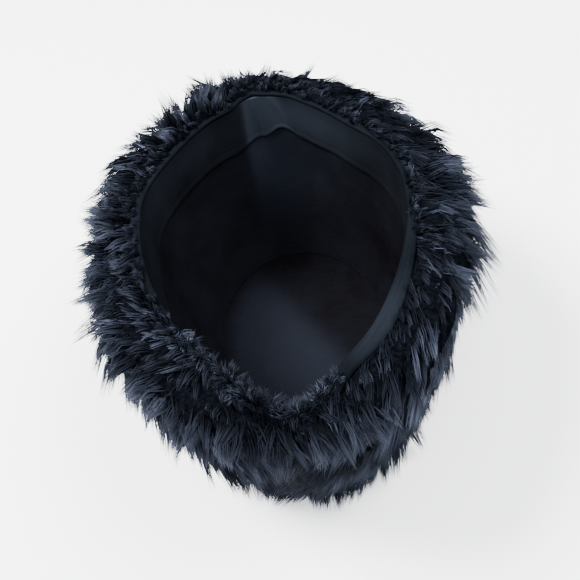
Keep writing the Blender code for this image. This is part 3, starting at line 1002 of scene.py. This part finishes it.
for k, (name, turnFrom, turnTo) in enumerate(rimFur["pieces"]):
    rng = np.random.default_rng(rimFur["placeSeed"] + k)
    turn, share = scatter(rng, rimFur["locks"], radians(turnFrom), radians(turnTo),
                          0.0, rimFur["deep"])
    share = share / rimFur["deep"]
    count = len(turn)
    nearEdge = partingAt(turn)
    soft = partingFur["softShare"]
    parting = (nearEdge * np.clip((share - partingFur["inside"]) / soft, 0, 1)
               * np.clip((partingFur["outside"] - share) / soft, 0, 1))
    roll = nearEdge * np.clip((partingFur["inside"] + soft - share) / soft, 0, 1)
    bare = np.exp(-(degreesFrom(turn, rimWelt["wideTurn"]) / rimFur["bareSpread"]) ** 4)
    behind = rimFur["rootFrom"] + rimFur["rootBare"] * bare
    inner = wallPoint(turn, np.full(count, rimHeight), behind)
    edgeHeight = np.full(count, rimFur["edgeHeight"])
    outer = pilePoint(turn, edgeHeight, np.full(count, rimFur["edgeInset"]))
    roots = inner * (1 - share)[:, None] + outer * share[:, None]
    roots[:, 2] = rimFur["rootHeight"]
    away = levelAway(pileRows, turn, edgeHeight)
    swirl = swirlAt(turn, share * 0.02, rimFur["combSeed"], 7) * rimFur["combSwirl"]
    comb = combAt(turn, 1) * rimFur["comb"] + swirl + rng.normal(0, rimFur["combStray"], count)
    riseFrom, riseMore = rimFur["rise"]
    rise = riseFrom + riseMore * share + rng.normal(0, rimFur["riseStray"], count)
    rise = rise * combAt(turn, 2) + rimFur["rollRise"] * roll
    heading = unit(away * (1 - rimFur["rollIn"] * roll)[:, None] + aroundOf(away) * comb[:, None]
                   + np.array([0, 0, 1.0]) * rise[:, None])
    droop = rng.uniform(*rimFur["droop"], count) * (0.7 + 0.7 * share) / combAt(turn, 2)
    fall = np.array([0, 0, -1.0]) * droop[:, None]
    length = rng.uniform(*rimFur["length"], count) * (0.75 + 0.25 * share)
    length = length * combAt(turn, 3) ** rimFur["longPower"]
    length = length * (1 - partingFur["shorter"] * parting) * (1 - rimFur["rollShort"] * roll)
    curl = swirlAt(turn * 3, share * 0.06, rimFur["curlSeed"], 6) * rimFur["curl"]
    curl = curl + rng.normal(0, rimFur["lockCurlStray"], count)
    plain, rolled = rimFur["light"]
    # painted shade in the parting, painted light on the roll at the near edge
    light = (1 - parting) * combAt(turn, 4) * (plain + rolled * roll)
    growLocks(name, rimFur["lockSeed"] + k, rimFur, roots, away, heading, fall,
              length, curl, light)

# short curls along the welt, all round but at the right of the near end, where the strip shows.
# They lean outwards at the far end, and roll over into the hollow at the near end
edgeFur = {
    "placeSeed": 600, "lockSeed": 601, "sideSeed": 19,
    "locks": 420, "tufts": 2, "strands": 8, "length": (0.007, 0.012),
    "spread": 0.0030, "tuftSpread": 0.0020, "lockGather": 0.2, "tuftGather": 0.4,
    "stray": 0.22, "curlStray": 0.30, "width": 0.00075,
    "stand": (-0.0008, 0.0046), "rootHeight": 0.1272, "bareFrom": -60, "bareTo": -12,
    # extra curls at the near end
    "more": {"locks": 260, "turn": 262, "spread": 22, "limits": (200, 297)},
    "nearTurn": 266, "nearSpread": 28, "nearLean": -0.75, "farLean": 0.9, "leanStray": 0.4,
    "swirl": 0.7, "sideStray": 0.45, "rise": 0.55, "fall": (-0.4, 0.9), "droop": -0.7,
    "curlWild": 0.4,
    # turn and painted light
    "light": [(0, 0.9), (215, 0.9), (245, 0.45), (265, 0.65), (290, 0.60), (360, 0.9)],
}
rng = np.random.default_rng(edgeFur["placeSeed"])
covered = radians(360 - edgeFur["bareTo"] + edgeFur["bareFrom"])
turn = (np.arange(edgeFur["locks"]) + rng.uniform(-0.4, 0.4, edgeFur["locks"])) / edgeFur["locks"]
more = edgeFur["more"]
moreTurns = rng.normal(more["turn"], more["spread"], more["locks"]).clip(*more["limits"])
turn = np.concatenate([radians(edgeFur["bareTo"]) + covered * turn, np.radians(moreTurns)])
count = len(turn)
nearEnd = np.exp(-((degreesFrom(turn, edgeFur["nearTurn"]) / edgeFur["nearSpread"]) ** 2))
farSide = np.clip(np.sin(turn) * 1.5 + 0.6, 0, 1)    # no curl hangs into the hollow there
atRim = np.full(count, rimHeight)
roots = wallPoint(turn, atRim, rng.uniform(*edgeFur["stand"], count) * (1 - 0.6 * nearEnd))
roots[:, 2] = edgeFur["rootHeight"]
away = levelAway(hollowRows, turn, atRim)
lean = rng.normal(0.0, edgeFur["leanStray"], count) * (1 - farSide) + farSide * edgeFur["farLean"]
lean = lean * (1 - 0.6 * nearEnd) + edgeFur["nearLean"] * nearEnd
side = swirlAt(turn * 2, turn * 0, edgeFur["sideSeed"], 6) * edgeFur["swirl"]
side = side + rng.normal(0, edgeFur["sideStray"], count)
heading = unit(away * lean[:, None] + aroundOf(away) * side[:, None]
               + np.array([0, 0, edgeFur["rise"]]))
fall = away * (rng.uniform(*edgeFur["fall"], count) * (1 - 0.7 * nearEnd))[:, None]
fall = fall + np.array([0, 0, edgeFur["droop"]])
lightTurns, lights = zip(*edgeFur["light"])
edgeLight = np.interp(np.degrees(turn) % 360, lightTurns, lights)
length = rng.uniform(*edgeFur["length"], count)
curl = rng.normal(0, edgeFur["curlWild"], count)
growLocks("furRimEdge", edgeFur["lockSeed"], edgeFur, roots, away, heading, fall, length, curl,
          edgeLight)

# the pressed fur of the crown, which lies flat and outwards on the floor
floorFur = {
    "placeSeed": 500, "lockSeed": 501, "combSeed": 12,
    "locks": 220, "tufts": 3, "strands": 7, "length": (0.013, 0.018),
    "spread": 0.0045, "tuftSpread": 0.002, "lockGather": 0.5, "tuftGather": 0.8,
    "stray": 0.05, "curlStray": 0.1, "width": 0.0009,
    "deep": 0.04, "edgeHeight": 0.004, "edgeInset": 0.004, "rootHeight": 0.0016,
    "innermost": 0.30, "more": 0.66, "combSwirl": 0.5, "combStray": 0.25, "curlWild": 0.2,
    "fall": 0.2, "light": 0.8,
}
rng = np.random.default_rng(floorFur["placeSeed"])
turn, share = scatter(rng, floorFur["locks"], 0, 2 * pi, 0.0, floorFur["deep"])
share = share / floorFur["deep"]
count = len(turn)
edgeHeight, edgeInset = floorFur["edgeHeight"], floorFur["edgeInset"]
edge = pilePoint(turn, np.full(count, edgeHeight), np.full(count, edgeInset))
outwards = floorFur["innermost"] + floorFur["more"] * share ** 0.7
roots = (edge - middle) * outwards[:, None] + middle
roots[:, 2] = floorFur["rootHeight"]
away = unit((roots - middle) * np.array([1, 1, 0]))
comb = swirlAt(turn, share * 0.02, floorFur["combSeed"], 6) * floorFur["combSwirl"]
comb = comb + rng.normal(0, floorFur["combStray"], count)
heading = unit(away + aroundOf(away) * comb[:, None])
below = np.tile(np.array([0, 0, -1.0]), (count, 1))
length = rng.uniform(*floorFur["length"], count)
curl = rng.normal(0, floorFur["curlWild"], count)
growLocks("furCrown", floorFur["lockSeed"], floorFur, roots, below, heading,
          heading * floorFur["fall"], length, curl, np.full(count, floorFur["light"]))


# floor, lights and camera
floorPlan = {"half": 3.0, "colour": (0.92, 0.92, 0.92), "roughness": 0.75, "grain": 60}
bm = bmesh.new()
bmesh.ops.create_grid(bm, x_segments=1, y_segments=1, size=floorPlan["half"])
ground = bpy.data.objects.new("studioFloor", meshFrom("studioFloor", bm))
bpy.context.scene.collection.objects.link(ground)
paleFloor, shader = newMaterial("paleFloor", floorPlan["colour"], floorPlan["roughness"])
grain = addNode(paleFloor, "TexNoise", Scale=floorPlan["grain"], Detail=4)
place = addNode(paleFloor, "TexCoord")
wire(paleFloor, place.outputs["Object"], grain.inputs["Vector"])
grainBump = addBump(paleFloor, grain.outputs["Fac"], 0.03, 0.001)
wire(paleFloor, grainBump.outputs["Normal"], shader.inputs["Normal"])
ground.data.materials.append(paleFloor)

# place, aim, size in metres and power in watts of each soft light
softLights = {
    "keyLight": ((-1.0, 0.3, 1.6), (0, 0, 0.08), 0.8, 150),
    "fillLight": ((1.1, 0.1, 1.6), (0, 0, 0.08), 1.2, 85),
    "frontLight": ((-0.2, -1.0, 1.9), (0, 0, 0.05), 0.8, 30),
}
for name, (place, aim, size, power) in softLights.items():
    lamp = bpy.data.lights.new(name, "AREA")
    lamp.shape, lamp.size, lamp.energy = "DISK", size, power
    lampObject = bpy.data.objects.new(name, lamp)
    lampObject.location = place
    lampObject.rotation_euler = (Vector(aim) - Vector(place)).to_track_quat("-Z", "Y").to_euler()
    bpy.context.scene.collection.objects.link(lampObject)
paleRoom = {"colour": (0.86, 0.9, 1.0), "strength": 1.8}
world = bpy.data.worlds.new("paleRoom")
world.use_nodes = True
background = world.node_tree.nodes["Background"]
background.inputs["Color"].default_value = (*paleRoom["colour"], 1)
background.inputs["Strength"].default_value = paleRoom["strength"]
bpy.context.scene.world = world

# the photo's view: where it looks, from which side, how high, how far and how much it is rolled
photoView = {
    "target": (0.0054, -0.0478, 0.126), "azimuth": 6.0, "elevation": 52.5, "roll": -15.4,
    "far": 0.2934, "focus": 600, "frame": 580,     # focal length and frame width in pixels
    "sensor": 36,
}
az, el, roll = (radians(photoView[k]) for k in ("azimuth", "elevation", "roll"))
back = Vector((sin(az) * cos(el), -cos(az) * cos(el), sin(el)))
right = Vector((cos(az), sin(az), 0))
up = back.cross(right)
camera = bpy.data.cameras.new("photoCamera")
camera.sensor_fit = "HORIZONTAL"
camera.sensor_width = camera.sensor_height = photoView["sensor"]
camera.lens = photoView["focus"] / photoView["frame"] * photoView["sensor"]
camera.clip_start = 0.01
cameraObject = bpy.data.objects.new("photoCamera", camera)
cameraObject.location = Vector(photoView["target"]) + back * photoView["far"]
rolledRight = right * cos(roll) + up * sin(roll)
rolledUp = -right * sin(roll) + up * cos(roll)
rows = [[rolledRight[i], rolledUp[i], back[i]] for i in range(3)]
cameraObject.rotation_euler = Matrix(rows).to_euler()
bpy.context.scene.collection.objects.link(cameraObject)
bpy.context.scene.camera = cameraObject
print("stage, lights and camera made")
